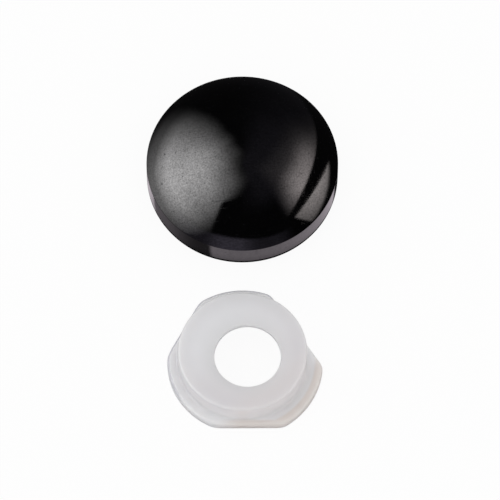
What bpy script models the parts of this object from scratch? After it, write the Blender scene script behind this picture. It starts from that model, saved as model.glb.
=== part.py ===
"""A two-piece screw cover cap: a domed snap cap, and the lobed washer that it snaps over.

The pieces lie side by side on the ground. The cap stands on its rim. The washer lies upside
down: its round foot is up, and its flange is on the ground. In use the foot sits on the panel,
the screw's head lies in the countersink on the flange side, and the bead inside the cap's wall
snaps under the flange's three lobes.

Lengths are in metres and angles in degrees. +Y points from the washer to the cap, and +Z up.
"""

import math

import bmesh
import bpy

# Dome cap
CAP_RADIUS = 0.0090
DOME_RISE = 0.0051  # from the top of the straight wall to the top of the dome
DOME_SKIN = 0.0009
SHOULDER = 0.0001  # rounded ledge between the straight wall and the dome
SKIRT_WALL = 0.0014  # thickness of the straight wall above the bead
RIM_ROUND = 0.00015  # outer edge of the rim
RIM_LEAD_IN = 0.0002  # how much wider the mouth is than the bore above the bead
BEAD_SLOPE = 0.00035  # height of the bead's upper slope
BEAD_NOSE = 0.0004  # height of the bead's narrowest part

# Retaining washer
WASHER_HEIGHT = 0.0033
FLANGE_THICKNESS = 0.00116
FLANGE_ROUND = 0.0003
FLAT_DIRECTIONS = (-89.7, 33.7, 151.3)  # front, right and left flats
FLAT_DEPTHS = (0.00099, 0.00159, 0.00108)  # how far each flat lies inside the longest lobe
LOBE_SHORTFALLS = (0.0, 0.00029, 0.00049)  # right, back and left lobes against the longest one
CORNER_BLEND = 0.00029  # rounding where a lobe meets a flat
FOOT_STEP = 0.00148  # how far the foot lies inside the longest lobe
FOOT_ROUND = 0.00025
HOLE_RADIUS = 0.0031
HOLE_SHIFT = (0.00047, -0.0005)  # the hole lies a little off the foot's centre
LAND_HEIGHT = 0.0004  # straight part of the hole, next to the foot's face
FOOT_WALL = 0.00063  # thinnest wall round the recess for the screw's head

# Fits
CAP_CLEARANCE = 0.0001  # from the longest lobe to the cap's bore
DOME_CLEARANCE = 0.0001  # from the flange's rounded edge to the inside of the dome
BEAD_GRIP = 0.0006  # how far the bead reaches in past the longest lobe
BEAD_PLAY = 0.00015  # from the bead to the flange above it
PIECE_GAP = 0.00326  # between the cap and the washer as they lie
WASHER_SHIFT = 0.00003  # how far the washer lies to the right of the cap

# Finish
CAP_COLOUR = (0.01, 0.01, 0.012)
CAP_ROUGHNESS = 0.12
WASHER_COLOUR = (0.62, 0.62, 0.64)
WASHER_ROUGHNESS = 0.42
WASHER_TRANSLUCENCY = 0.4

# Fineness of the round shapes
TURN_STEPS = 64
DOME_STEPS = 15
INNER_DOME_STEPS = 12
ROUND_STEPS = 3
OUTLINE_STEPS = 120
SHARP_ANGLE = 30.0
MERGE_DISTANCE = 0.00001
STRAIGHT_ANGLE = 0.1  # faces and edges that turn less than this are made one
CUTTER_MARGIN = 0.001

# Sizes that follow from the ones above
BORE_RADIUS = CAP_RADIUS - SKIRT_WALL
LONGEST_LOBE = BORE_RADIUS - CAP_CLEARANCE
LOBE_RADII = [LONGEST_LOBE - shortfall for shortfall in LOBE_SHORTFALLS]
FLAT_DISTANCES = [LONGEST_LOBE - depth for depth in FLAT_DEPTHS]
FOOT_RADIUS = LONGEST_LOBE - FOOT_STEP
RECESS_RADIUS = FOOT_RADIUS - FOOT_WALL - math.hypot(*HOLE_SHIFT)
COUNTERSINK_DEPTH = RECESS_RADIUS - HOLE_RADIUS  # a countersink of 90 degrees

DOME_FOOT_RADIUS = CAP_RADIUS - SHOULDER
DOME_RADIUS = (DOME_FOOT_RADIUS**2 + DOME_RISE**2) / (2 * DOME_RISE)
INNER_DOME_RADIUS = DOME_RADIUS - DOME_SKIN
# In use the flange's rounded upper edge lies close under the dome, which sets the dome's height.
EDGE_REACH = INNER_DOME_RADIUS - DOME_CLEARANCE - FLANGE_ROUND
EDGE_RADIUS = LONGEST_LOBE - FLANGE_ROUND
DOME_CENTRE = WASHER_HEIGHT - FLANGE_ROUND - math.sqrt(EDGE_REACH**2 - EDGE_RADIUS**2)
WALL_HEIGHT = DOME_CENTRE + math.sqrt(DOME_RADIUS**2 - DOME_FOOT_RADIUS**2)
BEAD_TOP = WASHER_HEIGHT - FLANGE_THICKNESS - BEAD_PLAY
BEAD_RADIUS = LONGEST_LOBE - BEAD_GRIP


def arc(centre_x, centre_z, radius, start, end, steps):
    """Points (x, z) on an arc. Angles are measured from +X towards +Z."""
    points = []
    for step in range(steps + 1):
        angle = math.radians(start + (end - start) * step / steps)
        points.append((centre_x + radius * math.cos(angle), centre_z + radius * math.sin(angle)))
    return points


def cap_profile():
    """The cap's section, from the top of the dome down the outside and back up the inside."""
    foot_angle = math.degrees(math.acos(DOME_FOOT_RADIUS / DOME_RADIUS))
    bore_angle = math.degrees(math.acos(BORE_RADIUS / INNER_DOME_RADIUS))
    outside = arc(0, DOME_CENTRE, DOME_RADIUS, 90, foot_angle, DOME_STEPS)
    shoulder = arc(DOME_FOOT_RADIUS, WALL_HEIGHT - SHOULDER, SHOULDER, 90, 0, ROUND_STEPS)
    rim = arc(CAP_RADIUS - RIM_ROUND, RIM_ROUND, RIM_ROUND, 0, -90, ROUND_STEPS)
    bead = [
        (BORE_RADIUS + RIM_LEAD_IN, 0),
        (BEAD_RADIUS, BEAD_TOP - BEAD_SLOPE - BEAD_NOSE),
        (BEAD_RADIUS, BEAD_TOP - BEAD_SLOPE),
        (BORE_RADIUS, BEAD_TOP),
    ]
    inside = arc(0, DOME_CENTRE, INNER_DOME_RADIUS, bore_angle, 90, INNER_DOME_STEPS)
    return outside + shoulder[1:] + rim + bead + inside


def foot_profile():
    """The washer's foot, down to where it is well inside the flange."""
    edge = arc(FOOT_RADIUS - FOOT_ROUND, WASHER_HEIGHT - FOOT_ROUND, FOOT_ROUND, 90, 0, ROUND_STEPS)
    return [(0, WASHER_HEIGHT)] + edge + [(FOOT_RADIUS, FLANGE_ROUND), (0, FLANGE_ROUND)]


def hole_profile():
    """The screw hole, its countersink and the recess for the screw's head, as one cutter."""
    land_bottom = WASHER_HEIGHT - LAND_HEIGHT
    countersink_bottom = land_bottom - COUNTERSINK_DEPTH
    bottom = min(countersink_bottom, 0) - CUTTER_MARGIN
    return [
        (0, WASHER_HEIGHT + CUTTER_MARGIN),
        (HOLE_RADIUS, WASHER_HEIGHT + CUTTER_MARGIN),
        (HOLE_RADIUS, land_bottom),
        (RECESS_RADIUS, countersink_bottom),
        (RECESS_RADIUS, bottom),
        (0, bottom),
    ]


def flange_radius(angle):
    """Distance from the washer's centre to the flange's edge: lobes cut by three flats."""
    first = FLAT_DIRECTIONS[0]
    passed = [(angle - first) % 360 >= direction - first for direction in FLAT_DIRECTIONS]
    lobe = LOBE_RADII[sum(passed) - 1]
    facing = [math.cos(math.radians(angle - direction)) for direction in FLAT_DIRECTIONS]
    flat = min(distance / cosine for distance, cosine in zip(FLAT_DISTANCES, facing) if cosine > 0)
    blend = max(CORNER_BLEND - abs(lobe - flat), 0)
    return min(lobe, flat) - blend**2 / (4 * CORNER_BLEND)


def flange_outline():
    points = []
    for step in range(OUTLINE_STEPS):
        angle = 360 * step / OUTLINE_STEPS
        radius = flange_radius(angle)
        points.append((radius * math.cos(math.radians(angle)), radius * math.sin(math.radians(angle))))
    return points


def new_collection(name):
    collection = bpy.data.collections.new(name)
    bpy.context.scene.collection.children.link(collection)
    return collection


def new_object(name, data, collection, location):
    piece = bpy.data.objects.new(name, data)
    piece.location = location
    collection.objects.link(piece)
    return piece


def turned(name, profile, collection, location):
    """A solid turned about the Z axis from a profile of (x, z) points."""
    mesh = bpy.data.meshes.new(name)
    edges = [(index, index + 1) for index in range(len(profile) - 1)]
    mesh.from_pydata([(x, 0, z) for x, z in profile], edges, [])
    piece = new_object(name, mesh, collection, location)
    turn = piece.modifiers.new("turn", "SCREW")
    turn.steps = TURN_STEPS
    turn.render_steps = TURN_STEPS
    turn.use_merge_vertices = True
    turn.merge_threshold = MERGE_DISTANCE
    return piece


def extruded(name, outline, thickness, collection, location):
    """A flat closed outline given a thickness, standing on z = 0."""
    curve = bpy.data.curves.new(name, "CURVE")
    curve.dimensions = "2D"
    curve.fill_mode = "BOTH"
    curve.extrude = thickness / 2
    spline = curve.splines.new("POLY")
    spline.points.add(len(outline) - 1)
    for point, (x, y) in zip(spline.points, outline):
        point.co = (x, y, 0, 1)
    spline.use_cyclic_u = True
    source = new_object(name + "_outline", curve, collection, (0, 0, 0))
    bpy.context.view_layer.update()
    mesh = evaluated_mesh(source)
    bpy.data.objects.remove(source)
    solid = bmesh.new()
    solid.from_mesh(mesh)
    bmesh.ops.remove_doubles(solid, verts=solid.verts, dist=MERGE_DISTANCE)
    straight = math.radians(STRAIGHT_ANGLE)
    bmesh.ops.dissolve_limit(solid, angle_limit=straight, verts=solid.verts, edges=solid.edges)
    bmesh.ops.translate(solid, verts=solid.verts, vec=(0, 0, thickness / 2))
    solid.to_mesh(mesh)
    solid.free()
    return new_object(name, mesh, collection, location)


def evaluated_mesh(piece):
    graph = bpy.context.evaluated_depsgraph_get()
    return bpy.data.meshes.new_from_object(piece.evaluated_get(graph))


def join_or_cut(piece, other, operation):
    boolean = piece.modifiers.new(other.name, "BOOLEAN")
    boolean.operation = operation
    boolean.solver = "EXACT"
    boolean.object = other
    other.hide_render = True
    other.display_type = "WIRE"


def finish(piece, material):
    """Applies a piece's modifiers and shades it smooth, apart from its sharp edges."""
    mesh = evaluated_mesh(piece)
    piece.modifiers.clear()
    piece.data = mesh
    mesh.shade_smooth()
    mesh.set_sharp_from_angle(angle=math.radians(SHARP_ANGLE))
    mesh.materials.clear()
    mesh.materials.append(material)


def plastic(name, colour, roughness, translucency):
    material = bpy.data.materials.new(name)
    material.use_nodes = True
    shader = material.node_tree.nodes["Principled BSDF"]
    shader.inputs["Base Color"].default_value = (*colour, 1)
    shader.inputs["Roughness"].default_value = roughness
    shader.inputs["Metallic"].default_value = 0
    shader.inputs["Subsurface Weight"].default_value = translucency
    shader.inputs["Subsurface Scale"].default_value = FLANGE_THICKNESS
    material.diffuse_color = (*colour, 1)
    return material


def make_cap(parts, location):
    cap = turned("dome_cap", cap_profile(), parts, location)
    finish(cap, plastic("black_gloss_plastic", CAP_COLOUR, CAP_ROUGHNESS, 0))


def make_washer(parts, cutters, location):
    washer = extruded("retaining_washer", flange_outline(), FLANGE_THICKNESS, parts, location)
    rounding = washer.modifiers.new("rim", "BEVEL")
    rounding.width = FLANGE_ROUND
    rounding.segments = ROUND_STEPS
    rounding.limit_method = "ANGLE"
    rounding.angle_limit = math.radians(SHARP_ANGLE)
    foot = turned("washer_foot", foot_profile(), cutters, location)
    join_or_cut(washer, foot, "UNION")
    hole_place = (location[0] + HOLE_SHIFT[0], location[1] + HOLE_SHIFT[1], location[2])
    hole = turned("screw_hole", hole_profile(), cutters, hole_place)
    join_or_cut(washer, hole, "DIFFERENCE")
    bpy.context.view_layer.update()
    finish(washer, plastic("milky_plastic", WASHER_COLOUR, WASHER_ROUGHNESS, WASHER_TRANSLUCENCY))


def main():
    for leftover in list(bpy.data.objects):
        bpy.data.objects.remove(leftover)
    parts = new_collection("screw_cover_cap")
    cutters = new_collection("cutters")
    # The origin is the middle of both pieces' ground area: x = 0 at the cap's centre, and
    # y = 0 halfway between the cap's back and the washer's front.
    centre_distance = CAP_RADIUS + PIECE_GAP + flange_radius(90)
    washer_front = min(y for x, y in flange_outline())
    cap_y = (centre_distance - washer_front - CAP_RADIUS) / 2
    make_cap(parts, (0, cap_y, 0))
    make_washer(parts, cutters, (WASHER_SHIFT, cap_y - centre_distance, 0))


main()
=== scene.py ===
"""The looks of the screw cover cap: its fine surfaces, materials, studio light and camera.

The CAD model is the fixed frame. Two pieces stand for its two nodes: the glossy black cap and
the milky washer. Lengths are in metres and angles in degrees.
"""

import math

import bmesh
import bpy
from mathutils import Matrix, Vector


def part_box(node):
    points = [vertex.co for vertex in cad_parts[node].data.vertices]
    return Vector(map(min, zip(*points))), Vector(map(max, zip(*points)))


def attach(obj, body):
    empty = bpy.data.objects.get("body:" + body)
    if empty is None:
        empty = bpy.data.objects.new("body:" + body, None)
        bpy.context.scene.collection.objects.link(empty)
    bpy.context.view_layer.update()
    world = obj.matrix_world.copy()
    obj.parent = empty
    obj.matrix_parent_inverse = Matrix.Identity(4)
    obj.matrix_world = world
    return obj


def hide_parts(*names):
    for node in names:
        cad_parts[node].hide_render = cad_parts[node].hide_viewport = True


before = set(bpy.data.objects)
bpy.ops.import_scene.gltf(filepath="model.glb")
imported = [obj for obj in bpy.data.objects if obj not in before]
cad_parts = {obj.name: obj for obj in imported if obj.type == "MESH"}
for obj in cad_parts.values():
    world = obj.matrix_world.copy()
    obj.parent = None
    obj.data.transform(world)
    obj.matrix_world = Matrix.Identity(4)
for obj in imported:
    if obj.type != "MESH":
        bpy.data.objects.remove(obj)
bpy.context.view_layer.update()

MM = 0.001

# Details of the cap, whose overall size comes from the frame
DOME_RISE = 5.1 * MM
DOME_SKIN = 0.9 * MM
DOME_EDGE_ROUND = 0.15 * MM  # where the dome meets the straight wall
WALL_STRAIGHT_FROM = 2.3 * MM  # below this height the wall draws in
WALL_DRAW_IN = 0.02 * MM  # how far the wall's foot lies inside its top
SKIRT_WALL = 1.4 * MM
RIM_ROUND = 0.05 * MM
RIM_LEAD_IN = 0.2 * MM
BEAD_TOP = 1.99 * MM
BEAD_SLOPE = 0.35 * MM
BEAD_NOSE = 0.4 * MM
BEAD_RADIUS = 6.9 * MM

# Details of the washer, whose height comes from the frame. Angles are those of its three flats.
FLANGE_THICKNESS = 1.16 * MM
FLANGE_ROUND = 0.3 * MM
FLAT_DIRECTIONS = (-89.7, 33.7, 151.3)
FLAT_DISTANCES = (6.51 * MM, 5.91 * MM, 6.42 * MM)
LOBE_RADII = (7.5 * MM, 7.21 * MM, 7.01 * MM)
CORNER_BLEND = 0.29 * MM
FOOT_RADIUS = 6.02 * MM
FOOT_ROUND = 0.25 * MM
FOOT_FILLET = 0.3 * MM
HOLE_RADIUS = 3.1 * MM
HOLE_SHIFT = (0.47 * MM, -0.5 * MM)
HOLE_ROUND = 0.08 * MM
LAND_HEIGHT = 0.4 * MM
RECESS_RADIUS = 4.7 * MM

# How finely the surfaces are cut: points round a ring, and rings along each part
CAP_STEPS = 256
WASHER_STEPS = 384
DOME_RINGS = 96
DOME_EDGE_RINGS = 8
WALL_RINGS = 24
CEILING_RINGS = 40
ROUNDING_RINGS = 6
HOLE_EDGE_RINGS = 4
FILLET_TURNS = (0, 22.5, 45, 67.5, 90)
JUST_ABOVE = 1.001
SAME_POINT = 1e-8  # points closer than this become one
SHARP_ANGLE = 40  # an edge that turns more than this keeps a sharp line

# Camera, as the photo was taken: from far away, looking down over the washer at the cap
CAMERA_ELEVATION = 65.8
CAMERA_DISTANCE = 0.9
CAMERA_TARGET = (0.725 * MM, 0.809 * MM, 0)
CAMERA_SEES_TO = 10
FRAME_WIDTH = 46.93 * MM  # what the picture's width takes in at the target
SENSOR_WIDTH = 36

# Strength and tint of what the studio holds
LEFT_PANEL = (6.9, (1.0, 0.985, 0.99))
UPPER_RIGHT_PANEL = (3.8, (1.0, 0.91, 0.9))
LOWER_RIGHT_PANEL = (3.8, (1.0, 0.92, 0.905))
FRONT_WALL = (0.42, (1.0, 0.91, 1.2))
TABLE = (0.76, (1.0, 0.9, 0.98))
ROOM_GLOW = (0.078, (1.0, 0.93, 1.18))
DARK_ROOM = (0.011, 0.0105, 0.011)
EVEN_LIGHT = (0.79, 0.79, 0.79)
PANEL_SHARE = 0.04  # how much of the panels' light falls on what isn't a mirror

# The noise in the plastics, as blobs for each metre, and how deep the grain and scratches are
BLACK_CLOUDS = 450.0
BLACK_GRAIN = 6500.0
BLACK_PITS = 4200.0
BLACK_GRAIN_DEPTH = 2e-6
SCRATCH_DEPTH = 1e-6
MILKY_CLOUDS = 260.0
MILKY_GRAIN = 6000.0
MILKY_GRAIN_DEPTH = 2e-6

# Black plastic. Pits and scratches are where a noise rises from the first level to the second.
BLACK_COLOUR = (0.0005, 0.0005, 0.0006)
PIT_COLOUR = (0.003, 0.003, 0.0034)
PIT_LEVELS = (0.76, 0.84)
SCRATCH_LEVELS = (0.78, 0.86)
PIT_SHINE_LOSS = 0.25
SCRATCH_SHINE_LOSS = 0.13
PIT_ROUGHNESS = 0.12
BLACK_IOR = 1.58
PAINTED_CONTACT_SHADE_END = (0.34 * MM, 0.46 * MM)  # painted contact shade: no shine at the wall's foot, ending over this height
PAINTED_WALL_SHADE_HEIGHTS = (0.3 * MM, 1.6 * MM)  # painted shade: the wall's shine rises over this height, darker towards its foot

# Milky plastic, with painted light and shade. A pair of lit and shaded colours goes from its back
# left to its front right.
MILKY_LIT_AND_SHADED_COLOURS = ((0.808, 0.808, 0.828), (0.748, 0.73, 0.747))
# painted light, lighter where the foot meets the flange
CREASE_PAINTED_LIGHT = ((0.83, 0.82, 0.84), (0.95, 0.925, 0.94))
# painted shade, darker at the edge of the foot's flat face
FOOT_EDGE_PAINTED_SHADE = ((0.715, 0.71, 0.725), (0.67, 0.655, 0.675))
# painted warm light at the flange's front and right edges
WARM_PAINTED_LIGHT = (0.76, 0.68, 0.64)
# painted shade, a thin dark line at the flange's back edge
BACK_EDGE_PAINTED_SHADE = (0.53, 0.527, 0.57)
MILKY_SPREAD = 3.0 * MM  # how far light spreads inside it
MILKY_SPREAD_TINT = (1.0, 0.97, 0.95)
MILKY_IOR = 1.5
MILKY_ROUGHNESS = 0.42

FLOOR_SIZE = 8.0
FLOOR_COLOUR = (0.98, 0.98, 0.98)
FLOOR_GLOW = 0.93  # how much of the floor's look is plain white, without shadow


def arc(centre_x, centre_z, radius, start, end, steps):
    """Points (x, z) on an arc. Angles are measured from +X towards +Z."""
    points = []
    for step in range(steps + 1):
        angle = math.radians(start + (end - start) * step / steps)
        points.append((centre_x + radius * math.cos(angle), centre_z + radius * math.sin(angle)))
    return points


def circle(radius, z, steps, centre=(0, 0)):
    """Points on a level circle."""
    ring = []
    for step in range(steps):
        angle = 2 * math.pi * step / steps
        ring.append((centre[0] + radius * math.cos(angle), centre[1] + radius * math.sin(angle), z))
    return ring


def skin(name, rings, closed):
    """A mesh object whose faces run from ring to ring. A ring of one point is a pole."""
    shape = bmesh.new()
    made = [[shape.verts.new(point) for point in ring] for ring in rings]
    steps = max(len(ring) for ring in rings)
    following = made[1:] + made[:1] if closed else made[1:]
    for upper, lower in zip(made, following):
        for step in range(steps):
            after = (step + 1) % steps
            corners = [
                upper[step % len(upper)],
                lower[step % len(lower)],
                lower[after % len(lower)],
                upper[after % len(upper)],
            ]
            shape.faces.new(list(dict.fromkeys(corners)))
    bmesh.ops.remove_doubles(shape, verts=shape.verts, dist=SAME_POINT)
    bmesh.ops.recalc_face_normals(shape, faces=shape.faces)
    mesh = bpy.data.meshes.new(name)
    shape.to_mesh(mesh)
    shape.free()
    piece = bpy.data.objects.new(name, mesh)
    bpy.context.scene.collection.objects.link(piece)
    return piece


def smooth(piece):
    """Smooth shading that keeps flat faces flat beside their rounded edges."""
    piece.data.shade_smooth()
    piece.data.set_sharp_from_angle(angle=math.radians(SHARP_ANGLE))
    weights = piece.modifiers.new("flat faces", "WEIGHTED_NORMAL")
    weights.keep_sharp = True
    weights.weight = 100  # percent, so that large faces decide


def wall_profile(radius, top):
    """The outside of the straight wall, down to its rounded rim. It draws in towards its foot."""
    points = []
    for step in range(WALL_RINGS + 1):
        z = top + (RIM_ROUND - top) * step / WALL_RINGS
        share = max(1 - z / WALL_STRAIGHT_FROM, 0)
        points.append((radius - WALL_DRAW_IN * share**3, z))
    foot = points[-1][0]
    return points + arc(foot - RIM_ROUND, RIM_ROUND, RIM_ROUND, 0, -90, ROUNDING_RINGS)[1:]


def cap_profile(radius, height):
    """The cap's section, from the top of the dome down the outside and back up the inside."""
    dome_radius = (radius**2 + DOME_RISE**2) / (2 * DOME_RISE)
    dome_centre = height - dome_radius
    edge_x = radius - DOME_EDGE_ROUND
    edge_z = dome_centre + math.sqrt((dome_radius - DOME_EDGE_ROUND) ** 2 - edge_x**2)
    edge_angle = math.degrees(math.atan2(edge_z - dome_centre, edge_x))
    outside = arc(0, dome_centre, dome_radius, 90, edge_angle, DOME_RINGS)[1:]
    edge = arc(edge_x, edge_z, DOME_EDGE_ROUND, edge_angle, 0, DOME_EDGE_RINGS)[1:]
    wall = wall_profile(radius, edge_z)[1:]
    inner_radius = dome_radius - DOME_SKIN
    bore = radius - SKIRT_WALL
    bore_angle = math.degrees(math.acos(bore / inner_radius))
    bead = [
        (bore + RIM_LEAD_IN, 0),
        (BEAD_RADIUS, BEAD_TOP - BEAD_SLOPE - BEAD_NOSE),
        (BEAD_RADIUS, BEAD_TOP - BEAD_SLOPE),
        (bore, BEAD_TOP),
    ]
    inside = arc(0, dome_centre, inner_radius, bore_angle, 90, CEILING_RINGS)[:-1]
    return outside + edge + wall + bead + inside, dome_centre + inner_radius


def make_cap():
    """The cap, standing on the ground where the frame has it."""
    low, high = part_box("dome_cap")
    height = high.z - low.z
    profile, ceiling = cap_profile((high.x - low.x) / 2, height)
    rings = [circle(radius, z, CAP_STEPS) for radius, z in profile]
    cap = skin("glossy_dome_cap", [[(0, 0, height)]] + rings + [[(0, 0, ceiling)]], False)
    cap.location = ((low.x + high.x) / 2, (low.y + high.y) / 2, low.z)
    smooth(cap)
    return cap


def flange_radius(angle, inset):
    """Distance from the washer's centre to the flange's outline, moved inwards by an inset."""
    first = FLAT_DIRECTIONS[0]
    passed = [(angle - first) % 360 >= direction - first for direction in FLAT_DIRECTIONS]
    lobe = LOBE_RADII[sum(passed) - 1] - inset
    facing = [math.cos(math.radians(angle - direction)) for direction in FLAT_DIRECTIONS]
    flats = [(distance - inset) / cos for distance, cos in zip(FLAT_DISTANCES, facing) if cos > 0]
    flat = min(flats)
    blend = max(CORNER_BLEND - abs(lobe - flat), 0)
    return min(lobe, flat) - blend**2 / (4 * CORNER_BLEND)


def washer_ring(place_at):
    """A ring about the washer's centre, whose radius and height depend on the angle."""
    ring = []
    for step in range(WASHER_STEPS):
        angle = 360 * step / WASHER_STEPS
        radius, z = place_at(angle)
        turn = math.radians(angle)
        ring.append((radius * math.cos(turn), radius * math.sin(turn), z))
    return ring


def flange_ring(inset, z):
    """The flange's outline at one height. Where the foot reaches past a flat, it takes over."""
    foot = FOOT_RADIUS if z > FLANGE_ROUND else 0
    return washer_ring(lambda angle: (max(flange_radius(angle, inset), foot), z))


def fillet_ring(turn):
    """One ring of the fillet between the foot's wall and the flange. It shrinks to fit there."""
    out = 1 - math.cos(math.radians(turn))
    up = 1 - math.sin(math.radians(turn))

    def place_at(angle):
        room = max(flange_radius(angle, FLANGE_ROUND) - FOOT_RADIUS, 0)
        size = min(FOOT_FILLET, room)
        return FOOT_RADIUS + size * out, FLANGE_THICKNESS + size * up

    return washer_ring(place_at)


def washer_rings(height):
    """The washer's surface as rings, from the hole's upper edge outwards and back underneath."""
    hole_x = HOLE_RADIUS + HOLE_ROUND
    hole_edge = arc(hole_x, height - HOLE_ROUND, HOLE_ROUND, 180, 90, HOLE_EDGE_RINGS)
    rings = [circle(radius, z, WASHER_STEPS, HOLE_SHIFT) for radius, z in hole_edge]
    foot_x = FOOT_RADIUS - FOOT_ROUND
    foot_edge = arc(foot_x, height - FOOT_ROUND, FOOT_ROUND, 90, 0, ROUNDING_RINGS)
    rings += [circle(radius, z, WASHER_STEPS) for radius, z in foot_edge]
    rings += [fillet_ring(turn) for turn in FILLET_TURNS]
    upper_z = FLANGE_THICKNESS - FLANGE_ROUND
    upper_edge = arc(-FLANGE_ROUND, upper_z, FLANGE_ROUND, 90, 0, ROUNDING_RINGS)
    rings += [flange_ring(-x, z) for x, z in upper_edge]
    rings.append(flange_ring(0, FLANGE_ROUND * JUST_ABOVE))
    lower_edge = arc(-FLANGE_ROUND, FLANGE_ROUND, FLANGE_ROUND, 0, -90, ROUNDING_RINGS)
    rings += [flange_ring(-x, min(z, FLANGE_ROUND)) for x, z in lower_edge]
    land_bottom = height - LAND_HEIGHT
    recess_top = land_bottom - (RECESS_RADIUS - HOLE_RADIUS)
    recess = [(RECESS_RADIUS, 0), (RECESS_RADIUS, recess_top), (HOLE_RADIUS, land_bottom)]
    rings += [circle(radius, z, WASHER_STEPS, HOLE_SHIFT) for radius, z in recess]
    return rings


def make_washer():
    """The washer, lying upside down where the frame has it."""
    low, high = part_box("retaining_washer")
    washer = skin("milky_retaining_washer", washer_rings(high.z - low.z), True)
    corners = [vertex.co for vertex in washer.data.vertices]
    right = max(corner.x for corner in corners)
    front = min(corner.y for corner in corners)
    washer.location = (high.x - right, low.y - front, low.z)
    smooth(washer)
    washer.visible_glossy = False  # the photo's cap mirrors no washer
    return washer


class Nodes:
    """Short calls that add and link the nodes of one tree."""

    def __init__(self, tree):
        self.tree = tree
        tree.nodes.clear()

    def add(self, kind, settings=None, **inputs):
        """Adds a node. Inputs are named with _ for a space, and take a value or an output."""
        node = self.tree.nodes.new("ShaderNode" + kind)
        for name, value in (settings or {}).items():
            setattr(node, name, value)
        for name, value in inputs.items():
            self.feed(node, name.replace("_", " "), value)
        return node

    def put(self, socket, value):
        """Links an output to a socket, or sets a value on it."""
        if isinstance(value, bpy.types.NodeSocket):
            self.tree.links.new(value, socket)
        else:
            socket.default_value = value

    def feed(self, node, name, value):
        """The same for a node's input, by name."""
        self.put(node.inputs[name], value)

    def math(self, operation, *values, clamp=False):
        """One sum on values and outputs."""
        node = self.tree.nodes.new("ShaderNodeMath")
        node.operation = operation
        node.use_clamp = clamp
        for socket, value in zip(node.inputs, values):
            self.put(socket, value)
        return node.outputs[0]

    def fold(self, operation, values):
        """One number from many, taken two at a time."""
        result = values[0]
        for value in values[1:]:
            result = self.math(operation, result, value)
        return result

    def total(self, *values):
        return self.fold("ADD", values)

    def product(self, *values):
        return self.fold("MULTIPLY", values)

    def largest(self, *values):
        return self.fold("MAXIMUM", values)

    def difference(self, first, second):
        return self.math("SUBTRACT", first, second)

    def share(self, value, start, end):
        """How far a value has come on its way from start to end: 0 at start and 1 at end."""
        way = self.difference(end, start)
        return self.math("DIVIDE", self.difference(value, start), way)

    def ramp(self, value, start, end, out_start=0.0, out_end=1.0, soft=True):
        """Maps start..end to out_start..out_end, held beyond both ends."""
        node = self.tree.nodes.new("ShaderNodeMapRange")
        node.interpolation_type = "SMOOTHSTEP" if soft else "LINEAR"
        self.tree.links.new(value, node.inputs["Value"])
        numbers = (start, end, out_start, out_end)
        for name, number in zip(("From Min", "From Max", "To Min", "To Max"), numbers):
            node.inputs[name].default_value = number
        return node.outputs["Result"]

    def noise(self, place, scale, detail, roughness=0.5):
        """A noise from 0 to 1, mostly near the middle."""
        node = self.add("TexNoise", Vector=place, Scale=scale, Detail=detail, Roughness=roughness)
        return node.outputs["Fac"]

    def vector_math(self, operation, first, second=None, scale=None):
        node = self.tree.nodes.new("ShaderNodeVectorMath")
        node.operation = operation
        self.put(node.inputs[0], first)
        if second is not None:
            self.put(node.inputs[1], second)
        if scale is not None:
            self.feed(node, "Scale", scale)
        return node.outputs[0]

    def mix_colour(self, factor, first, second):
        """Goes from the first colour to the second. Colours are (r, g, b) or outputs."""
        node = self.tree.nodes.new("ShaderNodeMix")
        node.data_type = "RGBA"
        self.tree.links.new(factor, node.inputs["Factor"])
        for socket, colour in zip(node.inputs[6:8], (first, second)):
            self.put(socket, (*colour, 1) if isinstance(colour, tuple) else colour)
        return node.outputs[2]

    def output(self, kind, surface):
        node = self.tree.nodes.new("ShaderNode" + kind)
        self.tree.links.new(surface, node.inputs["Surface"])


def studio_light():
    """Even light for the surfaces, and the studio's soft panels in everything glossy.

    Azimuth is 0 behind the object, 90 on its right and -90 on its left. Past the front it goes on
    from -180 to -270, for what lies on the left and in front.
    """
    world = bpy.data.worlds.new("studio")
    bpy.context.scene.world = world
    world.use_nodes = True
    nodes = Nodes(world.node_tree)
    direction = nodes.add("TexCoord").outputs["Generated"]
    x, y, z = nodes.add("SeparateXYZ", Vector=direction).outputs
    azimuth = nodes.math("DEGREES", nodes.math("ARCTAN2", x, y))
    past_front = nodes.math("WRAP", azimuth, 90.0, -270.0)
    elevation = nodes.math("DEGREES", nodes.math("ARCSINE", z))
    lights = (
        (LEFT_PANEL, left_panel(nodes, past_front, elevation)),
        (UPPER_RIGHT_PANEL, upper_right_panel(nodes, azimuth, elevation)),
        (LOWER_RIGHT_PANEL, lower_right_panel(nodes, azimuth, elevation)),
        (FRONT_WALL, front_wall(nodes, past_front, elevation)),
        (TABLE, table(nodes, azimuth, elevation)),
        (ROOM_GLOW, room_glow(nodes, azimuth, elevation)),
    )
    mirrored = DARK_ROOM
    for (strength, tint), mask in lights:
        colour = [strength * share for share in tint]
        part = nodes.vector_math("SCALE", colour, scale=mask)
        mirrored = nodes.vector_math("ADD", mirrored, part)
    shared = nodes.vector_math("SCALE", mirrored, scale=PANEL_SHARE)
    even = nodes.vector_math("ADD", shared, EVEN_LIGHT)
    glossy = nodes.add("LightPath").outputs["Is Glossy Ray"]
    seen = nodes.mix_colour(glossy, even, mirrored)
    background = nodes.add("Background", Color=seen)
    nodes.output("OutputWorld", background.outputs[0])


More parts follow.
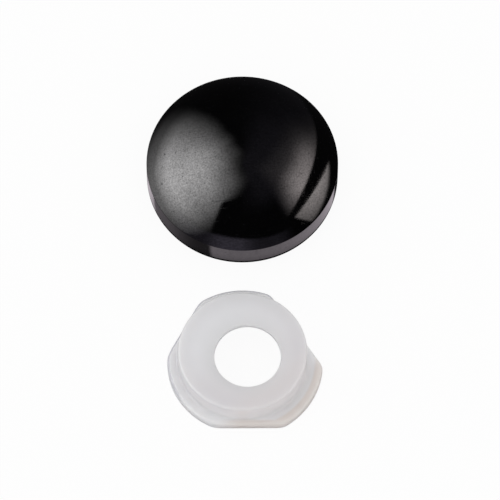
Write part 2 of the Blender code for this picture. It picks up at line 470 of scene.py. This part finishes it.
def left_panel(nodes, azimuth, elevation):
    """The large soft panel. Its edge towards the front is sharp low down and soft high up."""
    full_from_front = -88.0
    full_from_behind = -98.0
    cut_corner = nodes.ramp(elevation, -12, 9, 26, 0, soft=False)
    edge = nodes.difference(cut_corner, nodes.ramp(elevation, 42, 74, 150, 193))
    blur = nodes.total(
        nodes.ramp(elevation, 44, 66, 2, 28),
        nodes.ramp(elevation, 62, 82, 0, 46),
    )
    past_edge = nodes.math("DIVIDE", nodes.difference(azimuth, edge), blur)
    dark_in_front = nodes.total(
        nodes.ramp(elevation, 0, 75, -146, -202, soft=False),
        nodes.ramp(elevation, 58, 82, 0, -30),
    )
    dark_behind = nodes.total(
        nodes.ramp(elevation, 0, 50, -27, -18),
        nodes.ramp(elevation, 48, 64, 0, 10),
        nodes.ramp(elevation, 66, 90, 0, 58),
    )
    above_foot = nodes.total(elevation, nodes.ramp(azimuth, -100, -75, 0, 4))
    foot_fade = nodes.total(
        nodes.ramp(above_foot, -8, 12, 0, 0.75, soft=False),
        nodes.ramp(above_foot, -36, -8, 0, 0.25),
    )
    top_fade = nodes.product(
        nodes.ramp(elevation, 15, 60, 1, 0.8, soft=False),
        nodes.ramp(elevation, 44, 90, 1, 0.03),
    )
    return nodes.product(
        nodes.ramp(past_edge, -1, 1),
        nodes.ramp(nodes.share(azimuth, dark_in_front, full_from_front), 0, 1),
        nodes.ramp(nodes.share(azimuth, full_from_behind, dark_behind), 0, 1, 1, 0),
        foot_fade,
        top_fade,
    )


def arch(nodes, azimuth, middle, top, fall):
    """The elevation of a curved edge, which falls off on both sides of its middle."""
    off_middle = nodes.difference(azimuth, middle)
    return nodes.math("MULTIPLY_ADD", nodes.math("POWER", off_middle, 2.0), -fall, top)


def above_gap(nodes, azimuth, elevation):
    """How far a direction lies above the dark gap between the two panels on the right."""
    return nodes.difference(elevation, arch(nodes, azimuth, middle=108.0, top=21.0, fall=0.0075))


def upper_right_panel(nodes, azimuth, elevation):
    """A soft panel with a sharp curved lower edge."""
    above = above_gap(nodes, azimuth, elevation)
    core = nodes.product(nodes.ramp(above, 2, 32, 0.82, 0), nodes.ramp(azimuth, 42, 92))
    halo = nodes.product(nodes.ramp(above, 0, 62, 0.16, 0), nodes.ramp(azimuth, 31, 73))
    sharp_edge = nodes.ramp(above, -0.8, 0.8)
    foot_fade = nodes.ramp(elevation, 0, 30, 0.35, 1)
    front_fade = nodes.ramp(azimuth, 98, 135, 1, 0)
    return nodes.product(sharp_edge, nodes.total(core, halo), foot_fade, front_fade)


def lower_right_panel(nodes, azimuth, elevation):
    """A narrow panel under the dark gap, with sharp edges above and in front."""
    top_edge = arch(nodes, azimuth, middle=118.0, top=11.3, fall=0.0083)
    front_edge = nodes.math("MULTIPLY_ADD", elevation, 0.6, 120.0)
    below_top = nodes.ramp(nodes.difference(top_edge, elevation), -0.6, 0.6)
    behind_front = nodes.ramp(nodes.difference(front_edge, azimuth), -0.8, 0.8)
    back_fade = nodes.ramp(azimuth, 62, 72)
    front_fade = nodes.ramp(azimuth, 92, 126, 1, 0.5)
    foot_fade = nodes.product(
        nodes.ramp(elevation, -11.5, -6),
        nodes.ramp(elevation, -10, 9, 0.45, 1),
    )
    return nodes.product(below_top, behind_front, back_fade, front_fade, foot_fade)


def room_glow(nodes, azimuth, elevation):
    """The dim far side of the room, behind and above the right panels."""
    above = nodes.ramp(above_gap(nodes, azimuth, elevation), -2, 6)
    back_fade = nodes.ramp(azimuth, -12, 45)
    front_fade = nodes.ramp(azimuth, 140, 180, 1, 0.2)
    foot_fade = nodes.ramp(elevation, -10, 60, 0.3, 1)
    low_front = nodes.product(nodes.ramp(azimuth, 125, 138), nodes.ramp(elevation, 30, 60, 1, 0))
    elsewhere = nodes.difference(1.0, low_front)
    return nodes.product(above, back_fade, front_fade, foot_fade, elsewhere)


def front_wall(nodes, azimuth, elevation):
    """The studio's low dim wall in front of the object, brightest a little to the left."""
    middle = -170.0
    off_middle = nodes.math("ABSOLUTE", nodes.difference(azimuth, middle))
    top_edge = nodes.ramp(off_middle, 0, 60, 10.5, 5)
    below_top = nodes.ramp(nodes.difference(top_edge, elevation), -1.5, 1.5)
    above_foot = nodes.ramp(elevation, -50, -45)
    side_fade = nodes.product(
        nodes.ramp(off_middle, 5, 26, 1, 0.3),
        nodes.ramp(off_middle, 40, 60, 1, 0),
    )
    return nodes.product(side_fade, below_top, above_foot)


def table(nodes, azimuth, elevation):
    """The table top beside the object, which only steep faces mirror. It is dark underneath."""
    right = nodes.ramp(azimuth, 28, 36)
    front = nodes.ramp(azimuth, -144, -137, 1, 0)
    left = nodes.product(
        nodes.ramp(azimuth, -125, -75, 0.08, 0.3),
        nodes.ramp(azimuth, -50, -46, 1, 0),
    )
    back_left = nodes.product(
        nodes.ramp(azimuth, -50, -42),
        nodes.ramp(azimuth, -22, -8, 1, 0.3),
        nodes.ramp(azimuth, -8, 0, 1, 0),
    )
    below_rim = nodes.ramp(elevation, -63, -60, 1, 0)
    underneath = nodes.ramp(elevation, -76, -65, 0, 1, soft=False)
    return nodes.product(nodes.largest(right, front, left, back_left), below_rim, underneath)


def new_material(name):
    """An empty material, and the helper that adds its nodes."""
    material = bpy.data.materials.new(name)
    material.use_nodes = True
    return material, Nodes(material.node_tree)


def scratches(nodes, place, direction, length, width, share):
    """Fine straight scratches in one direction, as a mask. A larger share gives more of them."""
    turned = nodes.add("Mapping", Vector=place)
    turned.inputs["Rotation"].default_value = (0, 0, math.radians(direction))
    turned.inputs["Scale"].default_value = (1 / length, 1 / width, 1 / length)
    streaks = nodes.noise(turned.outputs[0], 1.0, 1.0)
    start, end = SCRATCH_LEVELS
    return nodes.ramp(streaks, start - share, end - share)


def black_gloss():
    """Gloss black with a fine mottled grain, a few dull pits and light handling scratches. Painted
    shade takes its shine away at the wall's foot and lessens it low on the wall.
    """
    material, nodes = new_material("black_gloss_plastic")
    place = nodes.add("TexCoord").outputs["Object"]
    clouds = nodes.noise(place, BLACK_CLOUDS, 3.0, 0.6)
    mottle = nodes.noise(place, BLACK_GRAIN, 2.0, 0.7)
    pits = nodes.ramp(nodes.noise(place, BLACK_PITS, 0.0), *PIT_LEVELS)
    scratched = nodes.largest(
        scratches(nodes, place, 40, 3.0 * MM, 0.09 * MM, 0.11),
        scratches(nodes, place, -52, 2.2 * MM, 0.08 * MM, 0.09),
    )
    shine = nodes.total(
        nodes.ramp(mottle, 0.25, 0.75, 0.28, 0.72, soft=False),
        nodes.ramp(clouds, 0.3, 0.7, -0.04, 0.04),
        nodes.product(pits, -PIT_SHINE_LOSS),
    )
    scratch_loss = nodes.product(scratched, SCRATCH_SHINE_LOSS)
    shine = nodes.math("SUBTRACT", shine, scratch_loss, clamp=True)
    height = nodes.add("SeparateXYZ", Vector=place).outputs[2]
    # Painted contact shade: no shine at the wall's foot
    outside_painted_contact_shade = nodes.ramp(height, *PAINTED_CONTACT_SHADE_END)
    # Painted shade: less shine low on the wall, darker towards its foot
    painted_wall_shade = nodes.ramp(height, *PAINTED_WALL_SHADE_HEIGHTS, 0.6, 1)
    shine = nodes.product(shine, outside_painted_contact_shade, painted_wall_shade)
    roughness = nodes.total(
        nodes.ramp(clouds, 0.35, 0.7, 0.05, 0.09),
        nodes.product(pits, PIT_ROUGHNESS),
    )
    bump = nodes.add("Bump", Height=mottle, Distance=BLACK_GRAIN_DEPTH).outputs[0]
    bump = nodes.add(
        "Bump", {"invert": True}, Height=scratched, Distance=SCRATCH_DEPTH, Normal=bump
    ).outputs[0]
    colour = nodes.mix_colour(pits, BLACK_COLOUR, PIT_COLOUR)
    shader = nodes.add("BsdfPrincipled", Normal=bump, IOR=BLACK_IOR, Roughness=roughness)
    nodes.feed(shader, "Base Color", colour)
    nodes.feed(shader, "Specular IOR Level", shine)
    nodes.output("OutputMaterial", shader.outputs[0])
    return material


def milky():
    """Undyed milky plastic. Its colour holds painted light and shade: lighter at the back left and
    where the foot meets the flange, darker at the front right, at the foot's edge and at the back
    edge, and warm where light comes through its thin parts.
    """
    material, nodes = new_material("milky_plastic")
    place = nodes.add("TexCoord").outputs["Object"]
    x, y, z = nodes.add("SeparateXYZ", Vector=place).outputs
    flat = nodes.vector_math("MULTIPLY", place, (1, 1, 0))
    radius = nodes.add("VectorMath", {"operation": "LENGTH"}, Vector=flat).outputs["Value"]
    to_front_right = nodes.difference(nodes.product(x, 0.8), y)
    clouds = nodes.noise(place, MILKY_CLOUDS, 3.0, 0.55)
    drift = nodes.ramp(clouds, 0.3, 0.7, -0.8 * MM, 0.8 * MM)
    # Painted light and shade: lighter towards the back left, darker towards the front right, with
    # some random drift
    shade = nodes.ramp(nodes.total(to_front_right, drift), -5 * MM, 4 * MM)
    colour = nodes.mix_colour(shade, *MILKY_LIT_AND_SHADED_COLOURS)

    # Painted light where the foot meets the flange: lighter colours that cancel the shade falling
    # there
    painted_crease_light = nodes.product(
        nodes.ramp(z, 1 * MM, 2.8 * MM, 1, 0),
        nodes.ramp(radius, 6.3 * MM, 7.7 * MM, 1, 0),
    )
    painted_crease_colour = nodes.mix_colour(shade, *CREASE_PAINTED_LIGHT)
    colour = nodes.mix_colour(painted_crease_light, colour, painted_crease_colour)

    # Painted shade at the edge of the foot's flat face, darker to cancel the light its rounded edge
    # catches
    painted_foot_edge_shade = nodes.product(
        nodes.ramp(z, 2.7 * MM, 3.2 * MM),
        nodes.ramp(radius, 4 * MM, 6 * MM),
    )
    foot_edge = nodes.mix_colour(shade, *FOOT_EDGE_PAINTED_SHADE)
    colour = nodes.mix_colour(painted_foot_edge_shade, colour, foot_edge)

    # Painted warm light at the flange's front and right edges, standing for light that comes
    # through them
    towards_outline = nodes.largest(
        nodes.difference(radius, 0.7 * MM),
        nodes.product(y, -1.0),
    )
    painted_warm_light = nodes.product(
        nodes.ramp(to_front_right, 3.5 * MM, 6.5 * MM),
        nodes.largest(
            nodes.ramp(towards_outline, 5.85 * MM, 6.25 * MM),
            nodes.ramp(z, 0.9 * MM, 1.15 * MM, 1, 0.2),
        ),
    )
    colour = nodes.mix_colour(painted_warm_light, colour, WARM_PAINTED_LIGHT)

    # Painted shade: a thin dark line at the flange's back edge
    painted_back_edge_shade = nodes.product(
        nodes.ramp(to_front_right, -2 * MM, 1 * MM, 1, 0),
        nodes.ramp(radius, 6.1 * MM, 6.3 * MM),
        nodes.ramp(z, 0.85 * MM, 0.95 * MM),
        nodes.ramp(z, 1.125 * MM, 1.155 * MM, 1, 0),
    )
    colour = nodes.mix_colour(painted_back_edge_shade, colour, BACK_EDGE_PAINTED_SHADE)

    # Its shine and its inside
    grain = nodes.noise(place, MILKY_GRAIN, 3.0, 0.6)
    bump = nodes.add("Bump", Height=grain, Distance=MILKY_GRAIN_DEPTH).outputs[0]
    shader = nodes.add("BsdfPrincipled", Normal=bump, IOR=MILKY_IOR, Roughness=MILKY_ROUGHNESS)
    nodes.feed(shader, "Base Color", colour)
    nodes.feed(shader, "Subsurface Weight", 1.0)
    nodes.feed(shader, "Subsurface Radius", MILKY_SPREAD_TINT)
    nodes.feed(shader, "Subsurface Scale", MILKY_SPREAD)
    nodes.output("OutputMaterial", shader.outputs[0])
    return material


def make_floor():
    """A pale paper floor that keeps a faint shadow. No mirror image shows it."""
    mesh = bpy.data.meshes.new("floor")
    half = FLOOR_SIZE / 2
    corners = [(-half, -half, 0), (half, -half, 0), (half, half, 0), (-half, half, 0)]
    mesh.from_pydata(corners, [], [(0, 1, 2, 3)])
    floor = bpy.data.objects.new("floor", mesh)
    bpy.context.scene.collection.objects.link(floor)
    material, nodes = new_material("pale_paper")
    paper = nodes.add("BsdfDiffuse", Color=(*FLOOR_COLOUR, 1))
    white = nodes.add("Emission", Color=(1, 1, 1, 1), Strength=1.0)
    rays = nodes.add("LightPath").outputs
    seen = nodes.largest(
        rays["Is Camera Ray"], rays["Is Glossy Ray"], rays["Is Transmission Ray"]
    )
    mixed = nodes.add("MixShader")
    nodes.put(mixed.inputs[0], nodes.product(seen, FLOOR_GLOW))
    nodes.put(mixed.inputs[1], paper.outputs[0])
    nodes.put(mixed.inputs[2], white.outputs[0])
    nodes.output("OutputMaterial", mixed.outputs[0])
    mesh.materials.append(material)
    floor.visible_glossy = False


def make_camera():
    """The camera, at the photo's angle, looking at the target from far away."""
    lens = bpy.data.cameras.new("camera")
    lens.sensor_width = SENSOR_WIDTH
    lens.lens = SENSOR_WIDTH * CAMERA_DISTANCE / FRAME_WIDTH
    lens.clip_end = CAMERA_SEES_TO
    camera = bpy.data.objects.new("camera", lens)
    bpy.context.scene.collection.objects.link(camera)
    tilt = math.radians(CAMERA_ELEVATION)
    back = Vector((0, -math.cos(tilt), math.sin(tilt)))
    camera.location = Vector(CAMERA_TARGET) + back * CAMERA_DISTANCE
    camera.rotation_euler = (math.radians(90) - tilt, 0, 0)
    bpy.context.scene.camera = camera


bpy.context.scene.view_settings.view_transform = "Standard"

make_camera()
studio_light()
make_floor()

cap = make_cap()
cap.data.materials.append(black_gloss())
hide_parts("dome_cap")
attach(cap, "root")

washer = make_washer()
washer.data.materials.append(milky())
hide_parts("retaining_washer")
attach(washer, "root")

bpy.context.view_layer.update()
